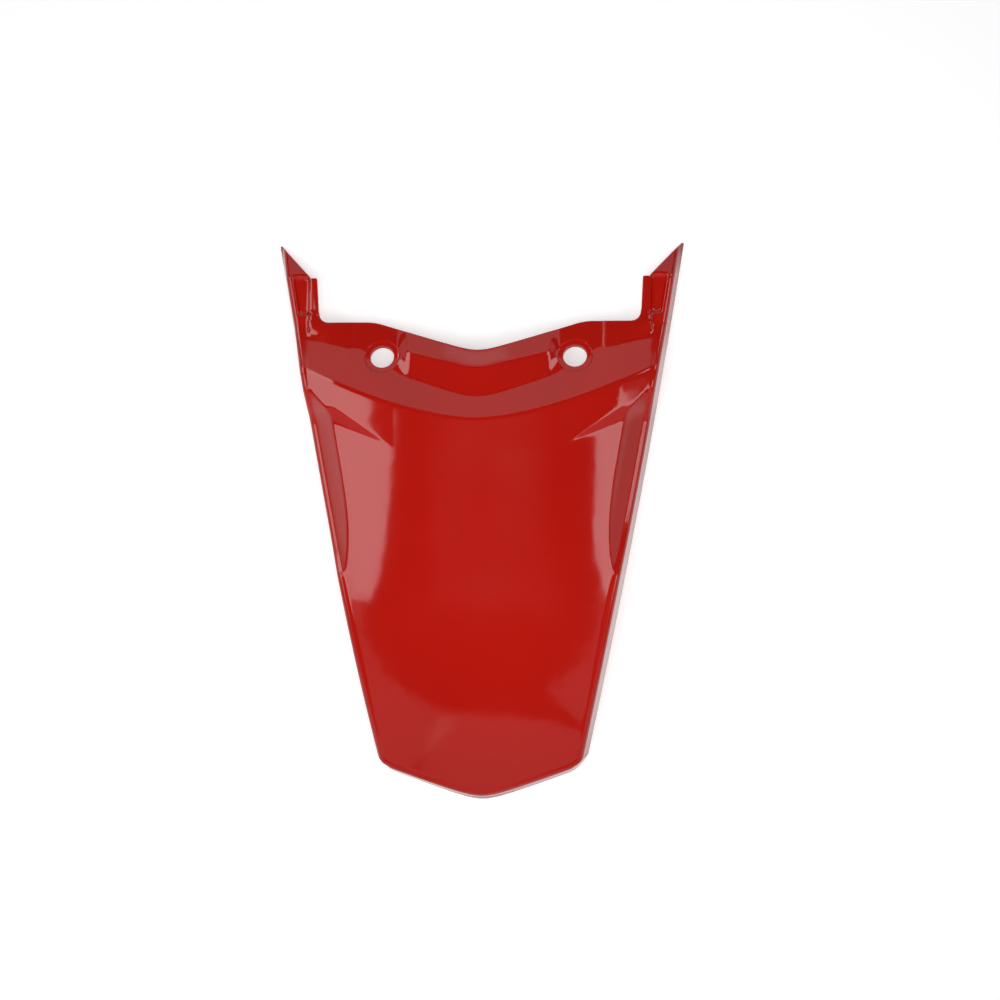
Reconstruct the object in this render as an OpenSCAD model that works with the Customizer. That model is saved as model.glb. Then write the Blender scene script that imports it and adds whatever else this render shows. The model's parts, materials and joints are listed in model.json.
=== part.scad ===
// Rear mudguard of a small trail motorbike, one moulded plastic shell.
// +X is across the bike, +Y points to the front (the two wings), -Y to the tail, +Z is up.
// The shell lies as it rests on a table, hollow side down, on the foot of its skirt.
// Origin: middle of the footprint of the whole shell, on the table.

/* [Shell] */
// Thickness of the moulded wall
wall = 2.6; // [2:0.1:3.2]
// Distance from the tail point to the tips of the wings
shell_length = 294; // [280:1:310]
// Width over the tips of the wings
tip_width = 215; // [200:1:225]
// Width where the sides end and the tail corners begin
tail_width = 120.5; // [108:0.5:126]
// Outward bow of the long sides
side_bow = 1.9; // [0:0.1:5]
// Height of the crest of the back above the table
crest_height = 39; // [34:0.5:44]
// How far the crown drops from the crest to the tail point
tail_drop = 33; // [28:0.5:34]
// Drop of the back from its centre line to its sides
camber = 13; // [8:0.5:15]
// Half width over which the camber is counted
camber_half = 75; // [70:1:85]

/* [Skirt and tail] */
// Outward lean of the skirt from its top to its foot
skirt_draft = 1.8; // [0.8:0.1:3]
// Radius of the roll between the back and the skirt
roll_r = 3; // [1.5:0.1:4]
// Slope of the V of the tail, rise over run
tail_slope = 0.37; // [0.2:0.01:0.45]
// Radius of the tail point in plan
tail_tip_r = 9; // [4:1:16]
// Size of the rounded tail corners along the skirt
tail_corner = 15; // [6:1:20]

/* [Flanks] */
// Width of each sunken flank beside the back
flank_width = 13; // [9:0.5:16]
// Place along the length where the flanks run out
flank_end_y = -28; // [-45:1:-20]
// Depth from the crease down to the foot of the flank
flank_drop = 10; // [7:0.5:12]

/* [Shoulders] */
// Height of the diagonal step at its outer end
step_height = 2.2; // [1.4:0.1:4]
// Half width between the two points where the steps fade out
step_tip_x = 43.5; // [36:0.5:50]
// Place along the length where the steps fade out
step_tip_y = 38.5; // [30:0.5:42]
// Way from the lower corner of each step out to the outline
step_side_gap = 16; // [13:0.5:19]
// Place along the length of the lower corner of the steps
step_corner_y = 52; // [48:0.5:54]
// Slope width of the step face at its outer end
step_run = 7.5; // [5:0.5:9]

/* [Front band and pad] */
// Place along the length where the back breaks into the band, on the centre line
crest_y = 53.5; // [50:0.5:56]
// Place of the lower line of the pad on the centre line
pad_low_y = 65.5; // [63:0.5:68]
// Place of the ridge of the pad on the centre line
pad_ridge_y = 81.5; // [78:0.5:83]
// Place of the front edge on the centre line
valley_y = 89.8; // [87:0.2:93]
// Height of the lower line of the pad on the centre line
pad_low_z = 32.5; // [30:0.5:34]
// Half width of the pad at its ridge
pad_half = 37; // [34:0.5:39]
// Run of the sloping ends of the pad
pad_end_run = 5.8; // [3:0.2:7]
// Drop of the front face of the pad from the ridge to the edge
pad_face_drop = 6.5; // [4:0.5:8]

/* [Bolt seats and lip] */
// Distance between the two bolt holes
bolt_spacing = 101.4; // [94:0.2:106]
// Place of the bolt holes along the length
bolt_y = 86.8; // [84:0.2:88]
// Diameter of the bolt holes
bolt_d = 12.4; // [8:0.1:13]
// Diameter of the sunk seat around each hole
seat_d = 20; // [17:0.2:22]
// Height of the seats above the table, at the bolt axis
seat_z = 20.6; // [18:0.2:22]
// Forward lean of the seats and of the lip
seat_tilt = 20; // [12:1:24]
// Depth of the seats below the lip around them
seat_sink = 0.3; // [0.2:0.1:1]
// Thickness of plastic below the seats
seat_floor = 3.2; // [2.4:0.1:4]
// Wall around each sunk seat, under the shell
boss_wall = 2.2; // [1.6:0.1:2.6]
// Extra height of the lip outside the bolt seats
lip_step = 1; // [0.4:0.1:1.5]

/* [Front edge and wings] */
// Place along the length of the straight parts of the front edge
front_edge_y = 105.3; // [103:0.2:107]
// Half width where the straight parts meet the V
front_corner_x = 55.4; // [50:0.2:60]
// Width of a wing from its inner side to its tip
wing_width = 22.6; // [20:0.2:25]
// Radius of the inner corner between edge and wing
wing_fillet = 5; // [2:0.5:8]
// Width of the ledge on top of each wing
ledge_width = 5.2; // [4:0.2:6]
// Place along the length of the end of the ledge
ledge_end_y = 129; // [125:0.5:132]
// Height of the ledge above the table
ledge_z = 13; // [11:0.5:15]
// Depth of the pocket beside the ledge
pocket_depth = 2; // [1:0.1:2.4]
// Place along the length where the pocket starts
pocket_start_y = 109.5; // [108:0.5:112]
// Height of the wing tips above the table
tip_z = 5; // [3:0.5:8]

/* [Hidden] */
half_length = shell_length / 2;
tip_half = tip_width / 2;
tail_half = tail_width / 2;
bolt_x = bolt_spacing / 2;
// the long sides run from the tips down to where the tail corners begin
side_end_y = 42 - half_length;
// power of the fall of the crown towards the tail
crown_power = 2.6;
// share of the camber that is left at the tail
tail_camber = 0.35;
// power with which a step grows from its tip to its outer end
step_growth = 1.25;
// half width at the inner side of the wings, and at the outer side of their ledges
wing_in_x = tip_half - wing_width;
ledge_x = wing_in_x + ledge_width;
// beside the lip the band runs down to this place in front of each wing
strip_end_y = front_edge_y - 1.8;
// radius in plan with which the front edge turns over the centre line
valley_turn = 6;
// run of the walls of small steps
ramp = 0.9;
// width of the strip that the roll and the crease leave outside the shoulders
crease_gap = 0.8;
// how far the shell is made past the tips and the front edge, to be trimmed off
trim = 4;
// vertical share of the wall under the sloping faces
wall_rise = 1.05;
// length over which the flanks open out beside the back
flank_run = 70;
// slopes of the crest line, the lower line of the pad, its ridge and the line beside the pad
crest_slope = 0.16;
crest_bow = 0.0017;
pad_slope = 0.36;
ridge_slope = 0.26;
beside_slope = 0.66;
// radius in plan with which the lines of the pad turn over the centre line
pad_turn = 10;
// fall of the rear face of the pad from its lower line to its ridge, as a slope
pad_lean = 0.1;
// the lip starts this far behind the bolts, and its line runs back at a slope from lip_out_x on
lip_back = 4;
lip_slope = 0.27;
lip_out_x = bolt_x + 18;
// half width where the pad has run down to the lip
pad_out = pad_half + pad_end_run;

function clamp01(t) = min(1, max(0, t));
function mix(a, b, t) = a + (b - a) * t;
function straight(a, b, v) = clamp01((v - a) / (b - a));
function smooth(a, b, v) = let (t = straight(a, b, v)) t * t * (3 - 2 * t);
// absolute value with a rounded point of radius r
function round_abs(v, r) = sqrt(v * v + r * r) - r;

// Outline in plan

// half width of the outline at a place along the length
function half_width(y) =
    let (q = (y - side_end_y) / (half_length - side_end_y))
    mix(tail_half, tip_half, q) + 4 * side_bow * q * (1 - q);
// tail edge: a V with a rounded point and rounded corners
function tail_edge(a) =
    let (corner_x = half_width(side_end_y) - tail_corner)
    -half_length + tail_slope * round_abs(a, tail_tip_r)
        + 0.9 * tail_corner * pow(straight(corner_x, corner_x + tail_corner, a), 2.4);

step_corner_x = half_width(step_corner_y) - step_side_gap;

// Lines of the form in plan, as a place along the length over a half width a

// crest, where the back breaks into the band
function crest_line(a) = crest_y + crest_slope * round_abs(a, 14) + crest_bow * a * a;
// lower line of the pad, which goes on as the lower line of the lip
function pad_line(a) = pad_low_y + pad_slope * round_abs(a, pad_turn);
function low_line(a) =
    a < pad_out ? pad_line(a)
        : min(pad_line(pad_out) + beside_slope * (a - pad_out),
            bolt_y + lip_back + lip_slope * max(0, a - lip_out_x));
// front edge between the wings
function front_line(a) =
    min(front_edge_y,
        mix(valley_y, front_edge_y, round_abs(a, valley_turn) / round_abs(front_corner_x, valley_turn)));
// ridge of the pad, which goes on across the lip
function ridge_line(a) =
    min(pad_ridge_y + ridge_slope * round_abs(a, pad_turn), mix(low_line(a), front_line(a), 0.62));
// lower and upper line of the diagonal step
function step_low(a) = mix(step_tip_y, step_corner_y, straight(step_tip_x, step_corner_x, a));
function step_high(a) = step_low(a) + 0.8 + step_run * straight(step_tip_x, step_corner_x, a);
// how far the flank has opened, from 0 where it runs out to 1 beside the back
function flank_open(y) =
    (1 - pow(1 - straight(flank_end_y, flank_end_y + flank_run, y), 3))
        * (1 - smooth(step_corner_y + 2, step_corner_y + 20, y));
// inner side of the roll along the skirt, and the crease beside the back
function roll_x(y) = half_width(y) - skirt_draft - roll_r;
function crease_x(y) = roll_x(y) - crease_gap - (flank_width - crease_gap - roll_r) * flank_open(y);

// Heights over the plan

// crown along the centre line of the back
function crown(y) =
    crest_height - tail_drop * pow(max(0, crest_y - y) / (half_length + crest_y), crown_power);
// the back, with its camber across
function back_z(a, y) =
    crown(y) - camber * mix(tail_camber, 1, smooth(-half_length, 0, y)) * pow(a / camber_half, 2);
// the back with the raised shoulders
function shoulder_z(a, y) =
    back_z(a, y) + step_height * pow(straight(step_tip_x, step_corner_x, a), step_growth)
        * straight(step_low(a), step_high(a), y);
// plane of the lip, which the bolt seats are sunk into
function lip_z(a, y) =
    seat_z + seat_sink - tan(seat_tilt) * (min(y, front_edge_y + 1) - bolt_y)
        + lip_step * smooth(bolt_x + 13, bolt_x + 17, a);
// fall of the lower line of the pad towards its ends, where it meets the lip
pad_fall = (pad_low_z - lip_z(pad_out, pad_line(pad_out))) / round_abs(pad_out, pad_turn);
// rear face, ridge and front face of the pad
function pad_z(a, y) =
    let (ridge = ridge_line(a))
    pad_low_z - pad_fall * round_abs(a, pad_turn) - pad_lean * (min(y, ridge) - low_line(a))
        - pad_face_drop * clamp01((y - ridge) / (front_line(a) - ridge));
// strip beside the lip, which carries the slope of the band on to the wing
function strip_z(a, y) =
    let (low = low_line(a))
    mix(lip_z(a, low), ledge_z, straight(low, strip_end_y, y));
// what lies in front of the low line: pad, bolt seats, lip and strip
function front_z(a, y) =
    mix(mix(pad_z(a, y), lip_z(a, y), straight(pad_half, pad_out, a)),
        strip_z(a, y), straight(ledge_x, ledge_x + ramp, a));
// ledge and pocket of a wing
function wing_z(a, y) =
    let (crease = crease_x(y))
    mix(ledge_z, tip_z, straight(ledge_end_y, half_length, y))
        - pocket_depth * straight(ledge_x, ledge_x + ramp, a)
            * (1 - straight(crease - ramp, crease, a))
            * straight(pocket_start_y, pocket_start_y + ramp, y)
            * (1 - straight(ledge_end_y, ledge_end_y + ramp, y));
// everything inside the creases
function inner_z(a, y) =
    let (crest = crest_line(a), low = low_line(a),
         body = y < crest ? shoulder_z(a, y)
              : y < low ? mix(shoulder_z(a, crest), front_z(a, low), (y - crest) / (low - crest))
              : front_z(a, y))
    mix(body, wing_z(a, y), smooth(strip_end_y, front_edge_y + 3, y)
        * straight(wing_in_x - 2, wing_in_x + 2, a));
// the whole outside up to the roll of the skirt
function shell_z(a, y) =
    let (crease = crease_x(y))
    a <= crease ? inner_z(a, y)
        : inner_z(crease, y) - flank_drop * flank_open(y) * pow(straight(crease, roll_x(y), a), 0.9);

// Grid of the outside. Columns run from the centre line to the foot of the skirt.

PAD_COLS = [0, 0.12, 0.26, 0.42, 0.6, 0.8, 1];
BACK_COLS = [0, 0.12, 0.24, 0.36, 0.46, 0.6, 0.74, 0.86, 0.92, 0.96, 1];
FLANK_COLS = [0.3, 0.65, 1];
ROLL = [30, 60, 90];
n_pad = len(PAD_COLS);
n_back = n_pad + len(BACK_COLS);
n_flank = n_back + len(FLANK_COLS);
n_roll = n_flank + len(ROLL);
n_cols = n_roll + 1;

// column k between the pad and the crease: the last ones draw the ledge and pocket of the wing
function beside_pad(k, inside, crease, y) =
    let (x = mix(inside, crease, BACK_COLS[k]), n = k - len(BACK_COLS) + 4,
         at_wing = [ledge_x, ledge_x + ramp, crease - ramp, crease])
    n < 0 ? x : mix(x, at_wing[n], smooth(crest_y + 15, front_edge_y - 12, y));
// half width of column i at a place along the length
function col_x(i, y) =
    let (narrow = min(1, half_width(y) / half_width(crest_y)), crease = crease_x(y))
    i < n_pad ? pad_half * narrow * PAD_COLS[i]
    : i < n_back ? beside_pad(i - n_pad, pad_out * narrow, crease, y)
    : i < n_flank ? mix(crease, roll_x(y), FLANK_COLS[i - n_back])
    : i < n_roll ? roll_x(y) + roll_r * sin(ROLL[i - n_flank])
    : half_width(y);
function col_turn(i) = i < n_flank ? 0 : i < n_roll ? ROLL[i - n_flank] : 90;

// Rows run from the foot of the tail to past the front. Each follows the lines of the form.

BACK_ROWS = [0, 0.05, 0.11, 0.18, 0.25, 0.33, 0.41, 0.47, 0.53, 0.6, 0.68, 0.76, 0.84, 0.92, 1];
STEP_ROWS = [0.5, 1];
SHOULDER_ROWS = [0.5, 1];
BAND_ROWS = [0.33, 0.67, 1];
PAD_ROWS = [0.5, 1];
EDGE_ROWS = [0.5, 1];
WING_ROWS = [0.1, 0.115, 0.135, 0.3, 0.45, 0.53, 0.55, 0.8, 1];
r_roll = 1 + len(ROLL);
r_back = r_roll + len(BACK_ROWS);
r_step = r_back + len(STEP_ROWS);
r_shoulder = r_step + len(SHOULDER_ROWS);
r_band = r_shoulder + len(BAND_ROWS);
r_pad = r_band + len(PAD_ROWS);
r_edge = r_pad + len(EDGE_ROWS);
n_rows = r_edge + len(WING_ROWS);
end_y = half_length + trim;

// the row just past the front edge
function past_front(a) = min(front_line(a), front_edge_y - 1.5) + 0.8;
function row_y(j, a) =
    let (edge = tail_edge(a), inside = edge + skirt_draft + roll_r)
    j == 0 ? edge
    : j < r_roll ? inside - roll_r * sin(ROLL[r_roll - 1 - j])
    : j < r_back ? mix(inside, step_low(a), BACK_ROWS[j - r_roll])
    : j < r_step ? mix(step_low(a), step_high(a), STEP_ROWS[j - r_back])
    : j < r_shoulder ? mix(step_high(a), crest_line(a), SHOULDER_ROWS[j - r_step])
    : j < r_band ? mix(crest_line(a), low_line(a), BAND_ROWS[j - r_shoulder])
    : j < r_pad ? mix(low_line(a), ridge_line(a), PAD_ROWS[j - r_band])
    : j < r_edge ? mix(ridge_line(a), past_front(a), EDGE_ROWS[j - r_pad])
    : mix(past_front(a), end_y, WING_ROWS[j - r_edge]);
function row_turn(j) = j == 0 ? 90 : j < r_roll ? ROLL[r_roll - 1 - j] : 0;

// plan place of a grid point: the column's width and the row's place are settled in turns
function settle(i, j, a, turns) =
    let (y = row_y(j, a), x = col_x(i, y))
    turns == 0 ? [x, y] : settle(i, j, x, turns - 1);
function outer_point(i, j) =
    let (p = settle(i, j, col_x(i, 0), 6), foot = i == n_cols - 1 || j == 0,
         a = min(p.x, roll_x(p.y)), y = max(p.y, tail_edge(a) + skirt_draft + roll_r),
         z = shell_z(a, y) - roll_r * (1 - cos(col_turn(i)) * cos(row_turn(j))))
    [p.x, p.y, foot ? 0 : z];
function inner_point(i, j) =
    let (p = outer_point(i, j), w = half_width(p.y),
         y = p.y + wall * straight(25, 0, p.y - tail_edge(p.x)),
         foot = i == n_cols - 1 || j == 0)
    [p.x * (w - wall) / w, y, foot ? 0 : max(1, p.z - wall * wall_rise)];

// The shell as one closed mesh

function mirrored(p, side) = [side * p.x, p.y, p.z];
half_outer = [for (j = [0:n_rows - 1]) [for (i = [0:n_cols - 1]) outer_point(i, j)]];
half_inner = [for (j = [0:n_rows - 1]) [for (i = [0:n_cols - 1]) inner_point(i, j)]];
full_cols = 2 * n_cols - 1;
function full_row(row) = [for (c = [1 - n_cols:n_cols - 1]) mirrored(row[abs(c)], sign(c))];
shell_points = [for (rows = [half_outer, half_inner]) for (row = rows) each full_row(row)];
layer = n_rows * full_cols;
function at(l, c, r) = l * layer + r * full_cols + c;
// two triangles of a quad, clockwise seen from outside
function quad(a, b, c, d, flip) = flip ? [[a, b, d], [b, c, d]] : [[a, b, c], [a, c, d]];
shell_faces = [
    for (r = [0:n_rows - 2], c = [0:full_cols - 2])
        each quad(at(0, c, r), at(0, c, r + 1), at(0, c + 1, r + 1), at(0, c + 1, r), c < n_cols - 1),
    for (r = [0:n_rows - 2], c = [0:full_cols - 2])
        each quad(at(1, c, r), at(1, c + 1, r), at(1, c + 1, r + 1), at(1, c, r + 1), c >= n_cols - 1),
    for (c = [0:full_cols - 2])
        each quad(at(0, c, 0), at(0, c + 1, 0), at(1, c + 1, 0), at(1, c, 0), false),
    for (c = [0:full_cols - 2])
        each quad(at(0, c + 1, n_rows - 1), at(0, c, n_rows - 1),
            at(1, c, n_rows - 1), at(1, c + 1, n_rows - 1), false),
    for (r = [0:n_rows - 2])
        each quad(at(0, 0, r + 1), at(0, 0, r), at(1, 0, r), at(1, 0, r + 1), false),
    for (r = [0:n_rows - 2])
        each quad(at(0, full_cols - 1, r), at(0, full_cols - 1, r + 1),
            at(1, full_cols - 1, r + 1), at(1, full_cols - 1, r), false)
];
module moulded_shell() {
    polyhedron(points = shell_points, faces = shell_faces, convexity = 8);
}

// Front edge: the V, the inner corners, the wings' inner sides and their slanting ends

// points of a fillet of radius r at corner b, between the ways to a and to c
function fillet(a, b, c, r, steps) =
    let (u = (a - b) / norm(a - b), v = (c - b) / norm(c - b),
         half = acos(u * v) / 2, run = r / tan(half),
         mid = b + (u + v) / norm(u + v) * r / sin(half),
         p = b + u * run - mid, q = b + v * run - mid, sweep = 180 - 2 * half,
         turn = sign(p.x * q.y - p.y * q.x))
    [for (k = [0:steps]) let (t = turn * sweep * k / steps)
        mid + [p.x * cos(t) - p.y * sin(t), p.x * sin(t) + p.y * cos(t)]];
module front_cut() {
    valley = [0, valley_y];
    corner = [front_corner_x, front_edge_y];
    inner = [wing_in_x, front_edge_y];
    ledge_in = [wing_in_x + 1.2, ledge_end_y];
    ledge_out = [ledge_x, ledge_end_y];
    tip = [half_width(half_length), half_length];
    far = [half_width(half_length) + 10, half_length + 3 * trim];
    side = concat(
        fillet(valley, corner, inner, 16, 4),
        fillet(corner, inner, ledge_in, wing_fillet, 6),
        [ledge_in, ledge_out, tip, [far.x, tip.y], far]);
    left = [for (k = [len(side) - 1:-1:0]) [-side[k].x, side[k].y]];
    point = fillet([-corner.x, corner.y], valley, corner, 14, 6);
    translate([0, 0, -1]) linear_extrude(crest_height + 10) polygon(concat(left, point, side));
}

// Bolt seats: a cup hangs under the shell, is sunk from above and has the bolt hole through it

module at_bolt(side) {
    translate([side * bolt_x, bolt_y, seat_z]) rotate([-seat_tilt, 0, 0]) children();
}
module at_bolts() {
    at_bolt(-1) children();
    at_bolt(1) children();
}
// columns and rows of the grid that lie around a bolt seat
cup_cols = [n_pad - 3, n_pad + 6];
cup_rows = [r_step - 1, n_rows - 9];
// solid under the outside around a bolt seat, a little inside the wall
module under_outside(side) {
    nc = cup_cols[1] - cup_cols[0] + 1;
    nr = cup_rows[1] - cup_rows[0] + 1;
    top = [for (j = [cup_rows[0]:cup_rows[1]], i = [cup_cols[0]:cup_cols[1]])
        mirrored(half_outer[j][i], side) - [0, 0, wall / 4]];
    base = [for (p = top) [p.x, p.y, 1]];
    function at_top(i, j) = j * nc + i;
    function at_base(i, j) = nc * nr + j * nc + i;
    faces = [
        for (j = [0:nr - 2], i = [0:nc - 2])
            each quad(at_top(i, j), at_top(i, j + 1), at_top(i + 1, j + 1), at_top(i + 1, j), false),
        for (j = [0:nr - 2], i = [0:nc - 2])
            each quad(at_base(i, j), at_base(i + 1, j), at_base(i + 1, j + 1), at_base(i, j + 1), false),
        for (i = [0:nc - 2])
            each quad(at_top(i, 0), at_top(i + 1, 0), at_base(i + 1, 0), at_base(i, 0), false),
        for (i = [0:nc - 2])
            each quad(at_top(i + 1, nr - 1), at_top(i, nr - 1), at_base(i, nr - 1),
                at_base(i + 1, nr - 1), false),
        for (j = [0:nr - 2])
            each quad(at_top(0, j + 1), at_top(0, j), at_base(0, j), at_base(0, j + 1), false),
        for (j = [0:nr - 2])
            each quad(at_top(nc - 1, j), at_top(nc - 1, j + 1), at_base(nc - 1, j + 1),
                at_base(nc - 1, j), false)
    ];
    turned = [for (f = faces) side > 0 ? f : [f[2], f[1], f[0]]];
    polyhedron(points = concat(top, base), faces = turned, convexity = 4);
}
module cups() {
    for (side = [-1, 1]) {
        intersection() {
            at_bolt(side) translate([0, 0, -seat_floor])
                cylinder(h = 20, r = seat_d / 2 + boss_wall, $fn = 64);
            under_outside(side);
        }
    }
}

module rear_mudguard() {
    color([0.72, 0.02, 0.01]) difference() {
        union() {
            cups();
            moulded_shell();
        }
        front_cut();
        at_bolts() cylinder(h = 20, r = seat_d / 2, $fn = 64);
        at_bolts() translate([0, 0, -20]) cylinder(h = 40, r = bolt_d / 2, $fn = 64);
    }
}

rear_mudguard();
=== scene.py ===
import json
import math

import bmesh
import bpy
import numpy as np
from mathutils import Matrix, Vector


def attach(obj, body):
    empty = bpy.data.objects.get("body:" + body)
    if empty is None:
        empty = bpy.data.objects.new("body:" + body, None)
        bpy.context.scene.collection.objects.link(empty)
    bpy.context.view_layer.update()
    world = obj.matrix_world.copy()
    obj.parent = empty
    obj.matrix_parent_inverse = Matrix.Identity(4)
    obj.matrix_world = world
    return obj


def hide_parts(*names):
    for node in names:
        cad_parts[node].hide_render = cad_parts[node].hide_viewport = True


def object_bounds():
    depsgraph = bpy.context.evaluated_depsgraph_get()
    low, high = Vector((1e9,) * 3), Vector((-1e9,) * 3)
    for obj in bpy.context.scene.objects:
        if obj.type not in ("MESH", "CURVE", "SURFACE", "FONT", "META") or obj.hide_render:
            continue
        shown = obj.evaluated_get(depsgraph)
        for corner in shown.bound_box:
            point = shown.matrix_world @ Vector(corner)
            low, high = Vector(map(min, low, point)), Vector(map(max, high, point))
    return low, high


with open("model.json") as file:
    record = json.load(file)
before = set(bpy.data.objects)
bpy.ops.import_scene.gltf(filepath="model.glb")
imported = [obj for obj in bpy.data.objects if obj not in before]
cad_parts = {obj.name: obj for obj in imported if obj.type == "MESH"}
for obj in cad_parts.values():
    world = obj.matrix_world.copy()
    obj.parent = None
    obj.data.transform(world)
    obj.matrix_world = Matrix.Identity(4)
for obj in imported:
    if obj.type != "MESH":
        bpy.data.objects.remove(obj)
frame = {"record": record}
cad_low, cad_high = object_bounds()

MM = 0.001

# Sizes of the shell in millimetres. The outer sizes and the bolts come from the frame.
HALF_LENGTH = (cad_high.y - cad_low.y) / 2 / MM
TIP_HALF = (cad_high.x - cad_low.x) / 2 / MM
CREST_HEIGHT = cad_high.z / MM
WALL = 2.6
TAIL_HALF = 60.25
SIDE_BOW = 1.9
TAIL_DROP = 33.0
CAMBER = 13.0
CAMBER_HALF = 75.0
SKIRT_DRAFT = 1.8
ROLL_R = 3.0
TAIL_SLOPE = 0.37
TAIL_TIP_R = 9.0
TAIL_CORNER = 15.0
FLANK_WIDTH = 13.0
FLANK_END_Y = -28.0
FLANK_DROP = 10.0
STEP_HEIGHT = 2.2
STEP_TIP_X, STEP_TIP_Y = 43.5, 38.5
STEP_SIDE_GAP, STEP_CORNER_Y = 16.0, 52.0
# the slope of the step is this long at its tip, and longer by the run at its corner
STEP_TIP_RUN = 0.8
STEP_RUN = 7.5
CREST_Y = 53.5
PAD_LOW_Y = 65.5
PAD_RIDGE_Y = 81.5
VALLEY_Y = 89.8
PAD_LOW_Z = 32.5
PAD_HALF = 37.0
PAD_END_RUN = 5.8
PAD_FACE_DROP = 6.5
SEAT_D = 20.0
SEAT_SINK = 0.3
SEAT_FLOOR = 3.2
BOSS_WALL = 2.2
LIP_STEP = 1.0
FRONT_EDGE_Y = 105.3
FRONT_CORNER_X = 55.4
WING_IN_X = TIP_HALF - 22.6
WING_FILLET = 5.0
LEDGE_X = WING_IN_X + 5.2
LEDGE_END_Y = 129.0
LEDGE_Z = 13.0
POCKET_DEPTH = 2.0
POCKET_START_Y = 109.5
TIP_Z = 5.0
# the sides run into the corners of the tail here
SIDE_END_Y = 42 - HALF_LENGTH
CORNER_POWER, CORNER_LIFT = 2.4, 0.9
CROWN_POWER = 2.6
TAIL_CAMBER = 0.35
# the flanks open over this run and close again behind the corner of the step
FLANK_RUN = 70.0
FLANK_CLOSE_START, FLANK_CLOSE_END = STEP_CORNER_Y + 2, STEP_CORNER_Y + 20
FLANK_POWER = 0.9
STEP_GROWTH = 1.25
# slope, middle radius and bow of the lines across the front, over the half width
CREST_SLOPE, CREST_TURN, CREST_BOW = 0.16, 14.0, 0.0017
PAD_SLOPE, PAD_TURN = 0.36, 10.0
BESIDE_SLOPE = 0.66
RIDGE_SLOPE = 0.26
# the ridge of the pad comes no nearer to the front edge than this share
RIDGE_SHARE = 0.62
LIP_SLOPE = 0.27
VALLEY_TURN = 6.0
PAD_OUT = PAD_HALF + PAD_END_RUN
PAD_LEAN = 0.1
# the band beside the lip runs down to the ledge of the wing
STRIP_END_Y = FRONT_EDGE_Y - 1.8
STRIP_IN_X = LEDGE_X - 24
STRIP_FADE = 9.0
WING_BLEND = 2.0
RAMP = 0.9
CREASE_GAP = 0.8
# the underside lies this much more than a wall lower, because the shell slopes
WALL_RISE = 1.05
# how far in from the foot the underside turns up: beside the skirt and at the tail
SKIRT_TURN, TAIL_TURN = 4.0, 25.0
# the last stretch of each wing is solid
SOLID_TIP = 6.0
# radius of the rounded trimmed edges
EDGE_R = 0.5
# radius over which the creases are rounded
CREASE_R = 0.9

bolt = next(m for m in frame["record"]["mounts"] if m["name"] == "bolt_right")
BOLT = Vector(bolt["pos_m"]) / MM
BOLT_AXIS = Vector(bolt["axis"])
BOLT_R = bolt["dims"]["r_mm"]
SEAT_TAN = BOLT_AXIS.y / BOLT_AXIS.z
# the low line passes the bolts here and leans forward beyond them, and the lip steps up
LIP_BACK_Y = BOLT.y + 4
LIP_OUT_X = BOLT.x + 18
LIP_STEP_START, LIP_STEP_END = BOLT.x + 13, BOLT.x + 17


def mix(a, b, t):
    return a + (b - a) * t


def straight(a, b, v):
    return np.clip((v - a) / (b - a), 0.0, 1.0)


def smooth(a, b, v):
    t = straight(a, b, v)
    return t * t * (3 - 2 * t)


def round_abs(v, r):
    return np.sqrt(v * v + r * r) - r


# Outline in plan


def half_width(y):
    q = (y - SIDE_END_Y) / (HALF_LENGTH - SIDE_END_Y)
    return mix(TAIL_HALF, TIP_HALF, q) + 4 * SIDE_BOW * q * (1 - q)


def tail_edge(a):
    corner_x = half_width(SIDE_END_Y) - TAIL_CORNER
    corner = straight(corner_x, corner_x + TAIL_CORNER, a) ** CORNER_POWER
    return (-HALF_LENGTH + TAIL_SLOPE * round_abs(a, TAIL_TIP_R)
            + CORNER_LIFT * TAIL_CORNER * corner)


STEP_CORNER_X = half_width(STEP_CORNER_Y) - STEP_SIDE_GAP

# Lines of the form, as a place along the length over a half width


def crest_line(a):
    return CREST_Y + CREST_SLOPE * round_abs(a, CREST_TURN) + CREST_BOW * a * a


def pad_line(a):
    return PAD_LOW_Y + PAD_SLOPE * round_abs(a, PAD_TURN)


def low_line(a):
    beside = pad_line(PAD_OUT) + BESIDE_SLOPE * (a - PAD_OUT)
    lip = LIP_BACK_Y + LIP_SLOPE * np.maximum(0, a - LIP_OUT_X)
    return np.where(a < PAD_OUT, pad_line(a), np.minimum(beside, lip))


def front_line(a):
    share = round_abs(a, VALLEY_TURN) / round_abs(FRONT_CORNER_X, VALLEY_TURN)
    return np.minimum(FRONT_EDGE_Y, mix(VALLEY_Y, FRONT_EDGE_Y, share))


def ridge_line(a):
    return np.minimum(PAD_RIDGE_Y + RIDGE_SLOPE * round_abs(a, PAD_TURN),
                      mix(low_line(a), front_line(a), RIDGE_SHARE))


def step_low(a):
    return mix(STEP_TIP_Y, STEP_CORNER_Y, straight(STEP_TIP_X, STEP_CORNER_X, a))


def step_high(a):
    return step_low(a) + STEP_TIP_RUN + STEP_RUN * straight(STEP_TIP_X, STEP_CORNER_X, a)


def flank_open(y):
    """0 where the crease runs along the skirt, 1 where the flank is at its widest."""
    opening = 1 - (1 - straight(FLANK_END_Y, FLANK_END_Y + FLANK_RUN, y)) ** 3
    return opening * (1 - smooth(FLANK_CLOSE_START, FLANK_CLOSE_END, y))


def roll_x(y):
    return half_width(y) - SKIRT_DRAFT - ROLL_R


def crease_x(y):
    return roll_x(y) - CREASE_GAP - (FLANK_WIDTH - CREASE_GAP - ROLL_R) * flank_open(y)


# Heights over the plan


def crown(y):
    t = np.maximum(0, CREST_Y - y) / (HALF_LENGTH + CREST_Y)
    return CREST_HEIGHT - TAIL_DROP * t**CROWN_POWER


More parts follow.
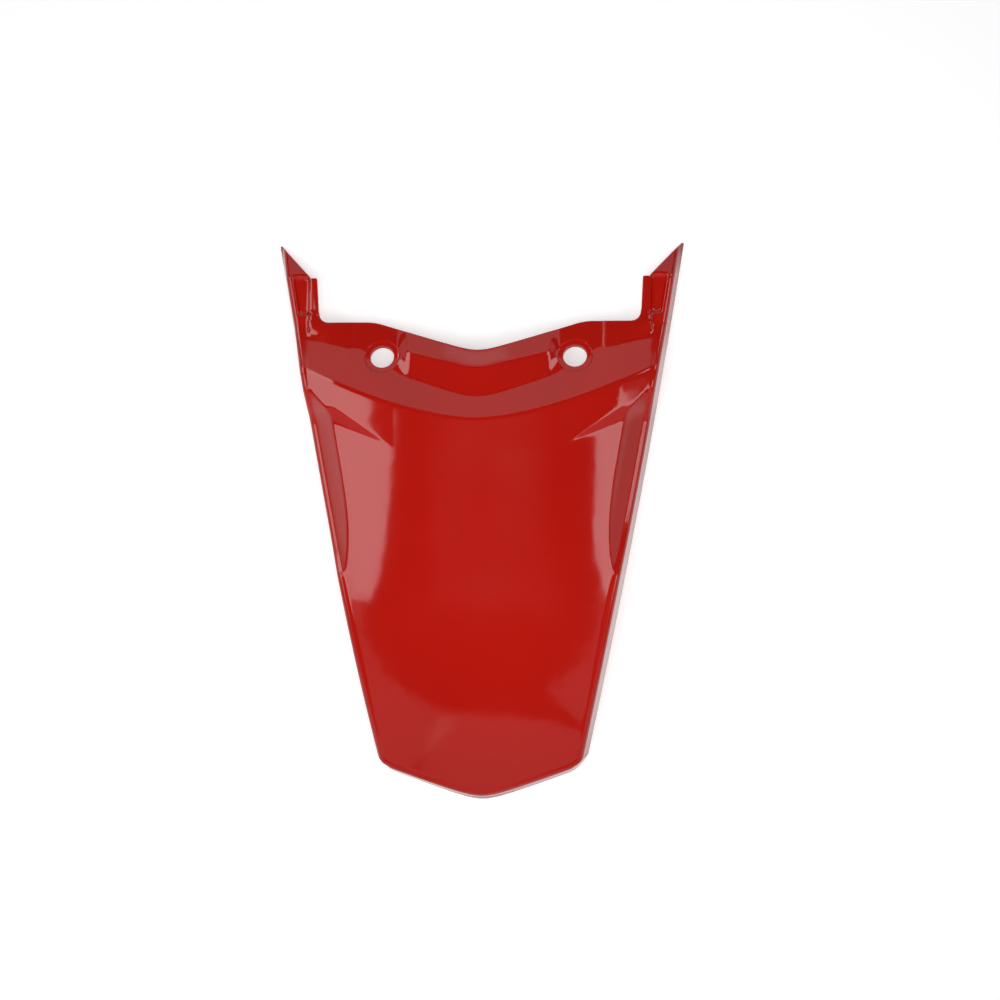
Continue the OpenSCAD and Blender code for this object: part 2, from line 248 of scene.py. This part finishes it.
def back_z(a, y):
    bend = CAMBER * mix(TAIL_CAMBER, 1, smooth(-HALF_LENGTH, 0, y))
    return crown(y) - bend * (a / CAMBER_HALF) ** 2


def shoulder_z(a, y):
    rise = STEP_HEIGHT * straight(STEP_TIP_X, STEP_CORNER_X, a) ** STEP_GROWTH
    return back_z(a, y) + rise * straight(step_low(a), step_high(a), y)


def lip_z(a, y):
    return (BOLT.z + SEAT_SINK - SEAT_TAN * (np.minimum(y, FRONT_EDGE_Y + 1) - BOLT.y)
            + LIP_STEP * smooth(LIP_STEP_START, LIP_STEP_END, a))


def pad_z(a, y):
    ridge = ridge_line(a)
    # the fall to both sides brings the ends of the pad down to the lip
    fall = (PAD_LOW_Z - lip_z(PAD_OUT, pad_line(PAD_OUT))) / round_abs(PAD_OUT, PAD_TURN)
    face = np.clip((y - ridge) / (front_line(a) - ridge), 0, 1)
    return (PAD_LOW_Z - fall * round_abs(a, PAD_TURN)
            - PAD_LEAN * (np.minimum(y, ridge) - low_line(a)) - PAD_FACE_DROP * face)


def front_z(a, y):
    return mix(pad_z(a, y), lip_z(a, y), straight(PAD_HALF, PAD_OUT, a))


def wing_z(a, y):
    crease = crease_x(y)
    pocket = (straight(LEDGE_X, LEDGE_X + RAMP, a) * (1 - straight(crease - RAMP, crease, a))
              * straight(POCKET_START_Y, POCKET_START_Y + RAMP, y)
              * (1 - straight(LEDGE_END_Y, LEDGE_END_Y + RAMP, y)))
    # the plane of the lip runs on down to the ledge
    lip = BOLT.z + SEAT_SINK + LIP_STEP - SEAT_TAN * (y - BOLT.y)
    above = np.maximum(0, lip - LEDGE_Z) * (1 - straight(LEDGE_X, LEDGE_X + RAMP, a))
    return (mix(LEDGE_Z, TIP_Z, straight(LEDGE_END_Y, HALF_LENGTH, y)) + above
            - POCKET_DEPTH * pocket)


def inner_z(a, y):
    crest, low = crest_line(a), low_line(a)
    band = mix(shoulder_z(a, crest), front_z(a, low), (y - crest) / (low - crest))
    # towards the wings the band runs straight down to the ledge
    strip = mix(shoulder_z(a, crest), LEDGE_Z, straight(crest, STRIP_END_Y, y))
    share = smooth(STRIP_IN_X, LEDGE_X, a)
    band = mix(band, strip, share)
    at_low = mix(shoulder_z(a, crest), LEDGE_Z, straight(crest, STRIP_END_Y, low))
    drop = (front_z(a, low) - at_low) * share * (1 - smooth(low, low + STRIP_FADE, y))
    front = mix(front_z(a, y) - drop, strip, straight(LEDGE_X, LEDGE_X + RAMP, a))
    body = np.where(y < crest, shoulder_z(a, y), np.where(y < low, band, front))
    wing = (smooth(STRIP_END_Y, FRONT_EDGE_Y + 3, y)
            * straight(WING_IN_X - WING_BLEND, WING_IN_X + WING_BLEND, a))
    return mix(body, wing_z(a, y), wing)


def shell_z(a, y):
    crease = crease_x(y)
    fall = FLANK_DROP * flank_open(y) * straight(crease, roll_x(y), a) ** FLANK_POWER
    return inner_z(np.minimum(a, crease), y) - fall


def soft_shell_z(a, y):
    """The same heights, averaged over a small disc, which rounds the creases as a mould does."""
    total = 2 * shell_z(a, y)
    weight = 2.0
    for radius, share in ((0.5, 1.0), (1.0, 0.6)):
        for k in range(8):
            angle = math.tau * (k + radius) / 8
            dx = CREASE_R * radius * math.cos(angle)
            dy = CREASE_R * radius * math.sin(angle)
            total = total + share * shell_z(np.abs(a + dx), y + dy)
            weight += share
    return total / weight


def outside_z(a, y):
    """Height of the outside with the roll along the skirt and the tail, and the skirt itself."""
    rx = roll_x(y)
    ac = np.minimum(a, rx)
    inside = tail_edge(ac) + SKIRT_DRAFT + ROLL_R
    yc = np.maximum(y, inside)
    sx = np.clip((a - rx) / ROLL_R, 0, 1)
    sy = np.clip((inside - y) / ROLL_R, 0, 1)
    z = soft_shell_z(ac, yc) - ROLL_R * (1 - np.sqrt((1 - sx * sx) * (1 - sy * sy)))
    return z, foot_share(a, y)


def foot_share(a, y):
    """1 on top, falling to 0 at the foot of the skirt."""
    side = (half_width(y) - a) / SKIRT_DRAFT
    tail = (y - tail_edge(a)) / SKIRT_DRAFT
    return np.clip(np.minimum(side, tail), 0, 1)


# Grids over the right half. Each is an array of plan places [row, column, x or y].


def steps(count, start=0.0, end=1.0):
    return start + (end - start) * np.arange(1, count + 1) / count


PAD_COLS = np.concatenate(([0.0], steps(22)))
PAD_END_COLS = steps(4)
SEAT_COLS = steps(34)
# the last columns before a wing crowd together, to draw the inner corner
CORNER_GAPS = np.array([1.7, 1.2, 0.75, 0.4, 0.15, 0.0])
LEDGE_COLS = steps(3)
WALL_COLS = steps(2)
POCKET_COLS = steps(3)
FLANK_COLS = steps(9)
ROLL_COLS = np.sin(np.radians([15, 30, 45, 60, 75, 90]))
FOOT_COLS = np.array([0.35, 0.7, 1.0])

WING_COL = len(PAD_COLS) + len(PAD_END_COLS) + len(SEAT_COLS) + len(CORNER_GAPS) - 1
# column along the outer side of a wing's ledge
LEDGE_COL = len(LEDGE_COLS)
# over this stretch the outer columns close in on the lines of the wing
WING_COLS_START, WING_COLS_END = 60.0, 93.0


def columns(y):
    """Half widths of all columns at the places y, one row of columns for each place."""
    y = np.atleast_1d(y)
    w = half_width(y)
    narrow = np.minimum(1, w / half_width(CREST_Y))
    pad_in, pad_out = PAD_HALF * narrow, PAD_OUT * narrow
    crease, rx = crease_x(y), roll_x(y)
    at_wing = smooth(WING_COLS_START, WING_COLS_END, y)
    wing = mix(0.86 * crease, WING_IN_X + EDGE_R, at_wing)
    ledge = mix(mix(wing, crease, 0.45), LEDGE_X, at_wing)
    pocket = mix(mix(wing, crease, 0.55), LEDGE_X + RAMP, at_wing)
    rim = mix(mix(wing, crease, 0.85), crease - RAMP, at_wing)
    lines = (
        (0 * y, pad_in, PAD_COLS),
        (pad_in, pad_out, PAD_END_COLS),
        (pad_out, wing - CORNER_GAPS[0] - 0.6, SEAT_COLS),
        (wing - 1, wing, 1 - CORNER_GAPS),
        (wing, ledge, LEDGE_COLS),
        (ledge, pocket, WALL_COLS),
        (pocket, rim, POCKET_COLS),
        (rim, crease, WALL_COLS),
        (crease, rx, FLANK_COLS),
        (rx, rx + ROLL_R, ROLL_COLS),
        (w - SKIRT_DRAFT, w, FOOT_COLS),
    )
    return np.concatenate([mix(a[:, None], b[:, None], t) for a, b, t in lines], axis=1)


def soft_front(a):
    """Front edge with rounded corners, and the inner corners beside the wings."""
    line = sum(front_line(np.abs(a + d)) for d in (-4, -2.7, -1.3, 0, 1.3, 2.7, 4)) / 7
    radius = WING_FILLET + EDGE_R
    into = np.clip(a - (WING_IN_X - WING_FILLET), 0, radius)
    return line + WING_FILLET - np.sqrt(np.maximum(0, radius**2 - into**2))


def row_places(a):
    """Places along the length of all rows of the main grid at the half widths a."""
    edge = tail_edge(a)
    inside = edge + SKIRT_DRAFT + ROLL_R
    lines = [edge, edge + 0.3 * SKIRT_DRAFT, edge + 0.65 * SKIRT_DRAFT]
    lines += [inside - ROLL_R * math.sin(math.radians(d)) for d in (90, 75, 60, 45, 30, 15, 0)]
    low, high, crest = step_low(a), step_high(a), crest_line(a)
    pad, ridge, front = low_line(a), ridge_line(a), soft_front(a)
    for start, end, count in ((inside, low, 96), (low, high, 9), (high, crest, 9),
                              (crest, pad, 20), (pad, ridge, 12), (ridge, front, 12)):
        lines += [mix(start, end, t) for t in steps(count)]
    return lines


def settle(row_of, count, first):
    """Plan places of a grid whose columns depend on y and whose rows depend on x."""
    x = np.repeat(first[None, :], count, axis=0)
    for _ in range(8):
        y = row_of(x)
        x = np.stack([columns(y[:, k])[:, k] for k in range(y.shape[1])], axis=1)
    return np.stack([x, row_of(x)], axis=2)


def main_rows(x):
    return np.stack([row_places(x[j])[j] for j in range(x.shape[0])], axis=0)


def main_grid():
    count = len(row_places(np.array([0.0])))
    return settle(main_rows, count, columns(0.0)[0])


def wing_inner(y):
    """Inner side of a wing, with its trimmed edge."""
    return WING_IN_X + 1.2 * straight(FRONT_EDGE_Y, LEDGE_END_Y, y) + EDGE_R


def ledge_grid(top_row):
    """Wing from the inner corner to the end of the ledge, on the columns from the wing out."""
    rows = [top_row[WING_COL:]]
    start = top_row[WING_COL, 1]
    for t in steps(22):
        y = mix(start, LEDGE_END_Y - EDGE_R, t)
        cols = columns(y)[0][WING_COL:]
        # the columns of the ledge lean with the inner side of the wing
        lean = (wing_inner(y) - cols[0]) * (1 - straight(cols[0], cols[LEDGE_COL], cols))
        rows.append(np.stack([cols + lean, np.full(len(cols), y)], axis=1))
    return np.stack(rows)


def point_edge(y):
    """Slanting end of a wing, from the end of the ledge to the tip, with its trimmed edge."""
    return mix(LEDGE_X, TIP_HALF - EDGE_R, straight(LEDGE_END_Y, HALF_LENGTH, y))


def point_grid(top_row):
    """The end of a wing beyond its ledge."""
    base = top_row[LEDGE_COL:]
    share = (base[:, 0] - base[0, 0]) / (base[-1, 0] - base[0, 0])
    rows = [base]
    for t in steps(24):
        y = mix(base[0, 1], HALF_LENGTH - EDGE_R, t)
        x = mix(point_edge(y), half_width(y), share)
        rows.append(np.stack([x, np.full(len(x), y)], axis=1))
    return np.stack(rows)


class Shell:
    """Vertices of the outside and the inside over one list of plan places, and the faces."""

    def __init__(self):
        self.outer, self.inner, self.faces = [], [], []

    def add_places(self, places):
        """Adds plan places as right-hand vertices and returns their numbers."""
        a, y = places[..., 0].ravel(), places[..., 1].ravel()
        z, foot = outside_z(a, y)
        start = len(self.outer)
        self.outer += np.stack([a, y, z * foot], axis=1).tolist()
        # the inside moves in from the skirt and the tail, and goes straight down elsewhere
        w = half_width(y)
        inner_x = a - WALL * straight(roll_x(y) - SKIRT_TURN, w, a)
        inner_x = np.maximum(inner_x, mix(point_edge(y), a, 0.2) * (y > LEDGE_END_Y))
        inner_y = y + WALL * straight(TAIL_TURN, 0, y - tail_edge(a))
        hollow = foot * smooth(HALF_LENGTH, HALF_LENGTH - SOLID_TIP, y)
        inner_height = np.maximum(1, z - WALL * WALL_RISE) * hollow
        self.inner += np.stack([inner_x, inner_y, inner_height], axis=1).tolist()
        return np.arange(start, len(self.outer)).reshape(places.shape[:-1])

    def add_quads(self, numbers):
        rows, cols = numbers.shape
        for j in range(rows - 1):
            for i in range(cols - 1):
                self.faces.append((numbers[j, i], numbers[j, i + 1],
                                   numbers[j + 1, i + 1], numbers[j + 1, i]))


def half_shell():
    """The right half: the grids and the loop round its edge, from the front middle outward."""
    shell = Shell()
    main = main_grid()
    numbers = shell.add_places(main)
    shell.add_quads(numbers)
    ledge = ledge_grid(main[-1])
    ledge_numbers = np.concatenate([numbers[-1:, WING_COL:], shell.add_places(ledge[1:])])
    shell.add_quads(ledge_numbers)
    point = point_grid(ledge[-1])
    point_numbers = np.concatenate([ledge_numbers[-1:, LEDGE_COL:], shell.add_places(point[1:])])
    shell.add_quads(point_numbers)
    trimmed = list(numbers[-1, :WING_COL + 1]) + list(ledge_numbers[1:, 0])
    trimmed += list(ledge_numbers[-1, 1:LEDGE_COL + 1]) + list(point_numbers[1:, 0])
    trimmed += list(point_numbers[-1, 1:])
    foot = list(point_numbers[-2::-1, -1]) + list(ledge_numbers[-2::-1, -1])
    foot += list(numbers[-2::-1, -1]) + list(numbers[0, -2::-1])
    return shell, trimmed, foot


# share of the way from the outer to the inner edge, and the bulge of the rounded rim
RIM = ((0.03, 0.5), (0.12, 0.87), (0.25, 1.0), (0.5, 1.0), (0.75, 1.0), (0.88, 0.87), (0.97, 0.5))


def build_shell():
    shell, trimmed, foot = half_shell()
    bm = bmesh.new()
    outer = np.array(shell.outer)
    inner = np.array(shell.inner)
    middle = {k for k in range(len(outer)) if abs(outer[k, 0]) < 1e-9}

    def layer_verts(points):
        right = [bm.verts.new(Vector(p) * MM) for p in points]
        left = [right[k] if k in middle else bm.verts.new(Vector((-p[0], p[1], p[2])) * MM)
                for k, p in enumerate(points)]
        return right, left

    outer_right, outer_left = layer_verts(outer)
    inner_right, inner_left = layer_verts(inner)

    def face(verts):
        kept = list(dict.fromkeys(verts))
        if len(kept) > 2:
            bm.faces.new(kept)

    for f in shell.faces:
        face([outer_right[k] for k in f])
        face([outer_left[k] for k in reversed(f)])
        face([inner_right[k] for k in reversed(f)])
        face([inner_left[k] for k in f])

    # the rounded rim along the trimmed edge, the plain foot along the skirt
    places = outer[trimmed][:, :2]
    along = np.gradient(places, axis=0)
    along[0] = (1, 0)
    out = np.stack([-along[:, 1], along[:, 0]], axis=1)
    out /= np.linalg.norm(out, axis=1)[:, None]
    previous = None
    for n, k in enumerate(trimmed):
        right, left = [outer_right[k]], [outer_left[k]]
        top, low = Vector(outer[k]), Vector(inner[k])
        on_foot = k == trimmed[-1]
        for share, bulge in RIM:
            if on_foot:
                right.append(outer_right[k])
                left.append(outer_left[k])
                continue
            p = top.lerp(low, share) + Vector((*out[n], 0)) * EDGE_R * bulge
            vert = bm.verts.new(p * MM)
            right.append(vert)
            left.append(vert if n == 0 else bm.verts.new(Vector((-p.x, p.y, p.z)) * MM))
        right.append(inner_right[k])
        left.append(inner_left[k])
        if previous:
            for m in range(len(right) - 1):
                face([previous[0][m], previous[0][m + 1], right[m + 1], right[m]])
                face([previous[1][m], left[m], left[m + 1], previous[1][m + 1]])
        previous = (right, left)
    loop = [trimmed[-1]] + foot
    for k, m in zip(loop[:-1], loop[1:]):
        face([outer_right[k], inner_right[k], inner_right[m], outer_right[m]])
        face([outer_left[k], outer_left[m], inner_left[m], inner_left[k]])

    bmesh.ops.recalc_face_normals(bm, faces=bm.faces)
    mesh = bpy.data.meshes.new("mudguard_shell")
    bm.to_mesh(mesh)
    bm.free()
    piece = bpy.data.objects.new("mudguard_shell", mesh)
    bpy.context.scene.collection.objects.link(piece)
    return piece


def lathe(profile, count=96):
    """Closed mesh turned round the bolt axis of the right seat, from (radius, height) in mm."""
    bm = bmesh.new()
    across = Vector((1, 0, 0))
    up = BOLT_AXIS.cross(across)
    rings = []
    for radius, height in profile:
        ring = []
        for k in range(count):
            angle = math.tau * k / count
            out = across * math.cos(angle) + up * math.sin(angle)
            ring.append(bm.verts.new((BOLT + BOLT_AXIS * height + out * radius) * MM))
        rings.append(ring)
    for one, two in zip(rings[:-1], rings[1:]):
        for k in range(count):
            n = (k + 1) % count
            bm.faces.new((one[k], one[n], two[n], two[k]))
    bm.faces.new(rings[0])
    bm.faces.new(rings[-1])
    bmesh.ops.recalc_face_normals(bm, faces=bm.faces)
    return bm


def to_object(bm, name):
    mesh = bpy.data.meshes.new(name)
    bm.to_mesh(mesh)
    bm.free()
    obj = bpy.data.objects.new(name, mesh)
    bpy.context.scene.collection.objects.link(obj)
    return obj


def mirrored_copy(obj):
    bm = bmesh.new()
    bm.from_mesh(obj.data)
    for v in bm.verts:
        v.co.x = -v.co.x
    bmesh.ops.reverse_faces(bm, faces=bm.faces)
    return to_object(bm, obj.name + "_left")


def cup():
    """Solid cup under the right seat, whose top lies inside the wall."""
    bm = lathe([(SEAT_D / 2 + BOSS_WALL, -SEAT_FLOOR), (SEAT_D / 2 + BOSS_WALL, 0)])
    for v in bm.verts:
        place = v.co / MM
        if (place - BOLT).dot(BOLT_AXIS) < -SEAT_FLOOR / 2:
            continue
        for _ in range(12):
            z = float(outside_z(np.array([place.x]), np.array([place.y]))[0][0]) - WALL / 2
            place = place + BOLT_AXIS * (z - place.z)
        v.co = place * MM
    return to_object(bm, "cup")


def sunk_seat():
    """What is cut away at the right bolt: the sunk seat and the hole, with softened edges."""
    seat_r = SEAT_D / 2
    profile = [(BOLT_R, -20), (BOLT_R, -0.25), (BOLT_R + 0.04, -0.12), (BOLT_R + 0.12, -0.03),
               (BOLT_R + 0.25, 0), (seat_r - 1.1, 0), (seat_r - 0.9, 0.1), (seat_r, 1.8),
               (seat_r + 0.1, 18)]
    return to_object(lathe(profile), "sunk_seat")


def join(piece, operand, operation):
    modifier = piece.modifiers.new(operand.name, "BOOLEAN")
    modifier.solver = "MANIFOLD"
    modifier.operation = operation
    modifier.object = operand
    graph = bpy.context.evaluated_depsgraph_get()
    mesh = bpy.data.meshes.new_from_object(piece.evaluated_get(graph))
    piece.modifiers.clear()
    old, piece.data = piece.data, mesh
    bpy.data.meshes.remove(old)
    bpy.data.objects.remove(operand)


shell_piece = build_shell()
for make, operation in ((cup, "UNION"), (sunk_seat, "DIFFERENCE")):
    right = make()
    left = mirrored_copy(right)
    join(shell_piece, right, operation)
    join(shell_piece, left, operation)
shell_piece.data.shade_smooth()
shell_piece.data.set_sharp_from_angle(angle=math.radians(38))


# Material

# pigment from its darker to its lighter side, and the two ends of the roughness
PIGMENT = ((0.5, 0.0072, 0.0026, 1), (0.54, 0.0086, 0.0032, 1))
GLOSS = (0.06, 0.1)


def red_plastic():
    material = bpy.data.materials.new("red_plastic")
    material.use_nodes = True
    nodes, links = material.node_tree.nodes, material.node_tree.links
    shader = nodes["Principled BSDF"]
    shader.inputs["IOR"].default_value = 1.5
    place = nodes.new("ShaderNodeTexCoord")

    def noise(scale, detail):
        node = nodes.new("ShaderNodeTexNoise")
        node.inputs["Scale"].default_value = scale
        node.inputs["Detail"].default_value = detail
        links.new(place.outputs["Object"], node.inputs["Vector"])
        return node

    # the pigment varies a little over the moulding
    cloud = noise(9, 3)
    colour = nodes.new("ShaderNodeValToRGB")
    for element, position, pigment in zip(colour.color_ramp.elements, (0.3, 0.7), PIGMENT):
        element.position = position
        element.color = pigment
    links.new(cloud.outputs["Fac"], colour.inputs["Fac"])
    links.new(colour.outputs["Color"], shader.inputs["Base Color"])
    # the gloss varies with the polish of the mould
    haze = noise(40, 5)
    gloss = nodes.new("ShaderNodeMapRange")
    gloss.inputs["From Min"].default_value = 0.3
    gloss.inputs["From Max"].default_value = 0.7
    gloss.inputs["To Min"].default_value = GLOSS[0]
    gloss.inputs["To Max"].default_value = GLOSS[1]
    links.new(haze.outputs["Fac"], gloss.inputs["Value"])
    links.new(gloss.outputs["Result"], shader.inputs["Roughness"])
    # slow ripples and a fine skin
    ripple, skin = noise(55, 2), noise(1500, 2)
    height = nodes.new("ShaderNodeMath")
    height.operation = "MULTIPLY_ADD"
    height.inputs[1].default_value = 0.03
    links.new(skin.outputs["Fac"], height.inputs[0])
    links.new(ripple.outputs["Fac"], height.inputs[2])
    bump = nodes.new("ShaderNodeBump")
    bump.inputs["Strength"].default_value = 0.12
    bump.inputs["Distance"].default_value = 0.0008
    links.new(height.outputs["Value"], bump.inputs["Height"])
    links.new(bump.outputs["Normal"], shader.inputs["Normal"])
    return material


shell_piece.data.materials.clear()
shell_piece.data.materials.append(red_plastic())
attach(shell_piece, "root")
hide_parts("rear_mudguard")

# Floor, light and camera

PAPER_COLOUR = (0.7, 0.7, 0.7, 1)
# light that the paper gives of its own where it is seen or mirrored
PAPER_LIFT = 0.6
# height of the level lamps over the part, in metres
SOFTBOX_HEIGHT = 1.15
# inner side and place of both cards, as shares of that height
CARD_IN_X, CARD_Y = 0.75, 0.75
WALL_DISTANCE = 2.2
WALL_RADIANCE = 0.42
WORLD_COLOUR = (0.05, 0.05, 0.05, 1)


def paper():
    """White studio paper: lit by the lamps, and lifted to white where it is seen or mirrored."""
    material = bpy.data.materials.new("paper")
    material.use_nodes = True
    nodes, links = material.node_tree.nodes, material.node_tree.links
    shader = nodes["Principled BSDF"]
    shader.inputs["Base Color"].default_value = PAPER_COLOUR
    shader.inputs["Roughness"].default_value = 0.9
    shader.inputs["Emission Color"].default_value = (1, 1, 1, 1)
    path = nodes.new("ShaderNodeLightPath")
    seen = path.outputs["Is Camera Ray"]
    for ray in ("Is Glossy Ray", "Is Transmission Ray"):
        either = nodes.new("ShaderNodeMath")
        either.operation = "ADD"
        links.new(seen, either.inputs[0])
        links.new(path.outputs[ray], either.inputs[1])
        seen = either.outputs["Value"]
    lift = nodes.new("ShaderNodeMath")
    lift.operation = "MULTIPLY"
    lift.inputs[1].default_value = PAPER_LIFT
    links.new(seen, lift.inputs[0])
    links.new(lift.outputs["Value"], shader.inputs["Emission Strength"])
    return material


def bowl(radius=3.2, bend=0.9, height=1.3, count=96):
    """Round floor whose edge sweeps up into a low wall."""
    profile = [(radius * k / 8, 0) for k in range(1, 9)]
    for k in range(1, 9):
        angle = math.pi / 2 * k / 8
        profile.append((radius + bend * math.sin(angle), bend * (1 - math.cos(angle))))
    profile.append((radius + bend, height))
    bm = bmesh.new()
    turns = [math.tau * k / count for k in range(count)]
    rings = [[bm.verts.new((r * math.cos(t), r * math.sin(t), z)) for t in turns]
             for r, z in profile]
    bm.faces.new(rings[0])
    for one, two in zip(rings[:-1], rings[1:]):
        for k in range(count):
            n = (k + 1) % count
            bm.faces.new((one[k], one[n], two[n], two[k]))
    bmesh.ops.recalc_face_normals(bm, faces=bm.faces)
    obj = to_object(bm, "floor")
    if obj.data.polygons[0].normal.z < 0:
        obj.data.flip_normals()
    obj.data.shade_smooth()
    obj.data.materials.append(paper())


def lamp(name, azimuth, zenith, distance, size, radiance):
    """Rectangular lamp that faces the part.

    The azimuth is 0 towards +Y and 90 towards +X, and the zenith is the angle from straight up.
    """
    turn, tilt = math.radians(azimuth), math.radians(zenith)
    level = math.sin(tilt)
    way = Vector((math.sin(turn) * level, math.cos(turn) * level, math.cos(tilt)))
    data = bpy.data.lights.new(name, "AREA")
    data.shape = "RECTANGLE"
    data.size, data.size_y = size
    data.energy = radiance * math.pi * size[0] * size[1]
    obj = bpy.data.objects.new(name, data)
    obj.location = way * distance
    obj.rotation_euler = way.to_track_quat("Z", "Y").to_euler()
    obj.visible_camera = False
    bpy.context.scene.collection.objects.link(obj)
    return obj


def softbox(name, place, size, turn, radiance):
    """Level lamp over the part. Place and size are shares of its height, turn is in degrees."""
    obj = lamp(name, 0, 0, SOFTBOX_HEIGHT, [SOFTBOX_HEIGHT * s for s in size], radiance)
    obj.location = Vector((place[0], place[1], 1)) * SOFTBOX_HEIGHT
    obj.rotation_euler = (0, 0, math.radians(turn))
    return obj


bowl()
# two softboxes hang level beside the camera
softbox("softbox_left", (-1.01, 0.085), (0.85, 0.48), -16, 3.2)
softbox("softbox_right", (1.02, -0.1), (0.85, 0.37), -5, 3.2)
# a card over each wing, which is mirrored but gives no other light
for side, size in ((-1, (1.4, 0.8)), (1, (0.8, 0.6))):
    card = softbox(f"card_{side}", (side * (CARD_IN_X + size[0] / 2), CARD_Y), size, 0, 3.6)
    card.visible_diffuse = False
# the pale walls of the studio behind the tail, and in front a low card that is only mirrored
lamp("wall_left", -135, 57.5, WALL_DISTANCE, (1.7, 1.9), WALL_RADIANCE)
lamp("wall_behind", 180, 60, WALL_DISTANCE, (0.9, 1.9), WALL_RADIANCE)
lamp("wall_right", 135, 51, WALL_DISTANCE, (1.3, 1.9), WALL_RADIANCE)
card = lamp("front_card", 0, 62, WALL_DISTANCE, (2.6, 1.1), 0.75)
card.visible_diffuse = False
# soft light from above, which gives the colour and is not mirrored
fill = lamp("fill", 180, 4, 0.48, (0.3, 0.3), 4.6)
fill.visible_glossy = False

world = bpy.data.worlds.new("studio")
bpy.context.scene.world = world
world.use_nodes = True
background = world.node_tree.nodes["Background"]
background.inputs["Color"].default_value = WORLD_COLOUR
background.inputs["Strength"].default_value = 1
bpy.context.scene.view_settings.view_transform = "Standard"

camera = bpy.data.objects.new("camera", bpy.data.cameras.new("camera"))
bpy.context.scene.collection.objects.link(camera)
# the photograph was taken from above and a little to the right
camera.location = (0.128, 0.0009, 1.6)
camera.rotation_euler = (0.0064, 0.0738, -0.0021)
camera.data.lens = 108.86
bpy.context.scene.camera = camera
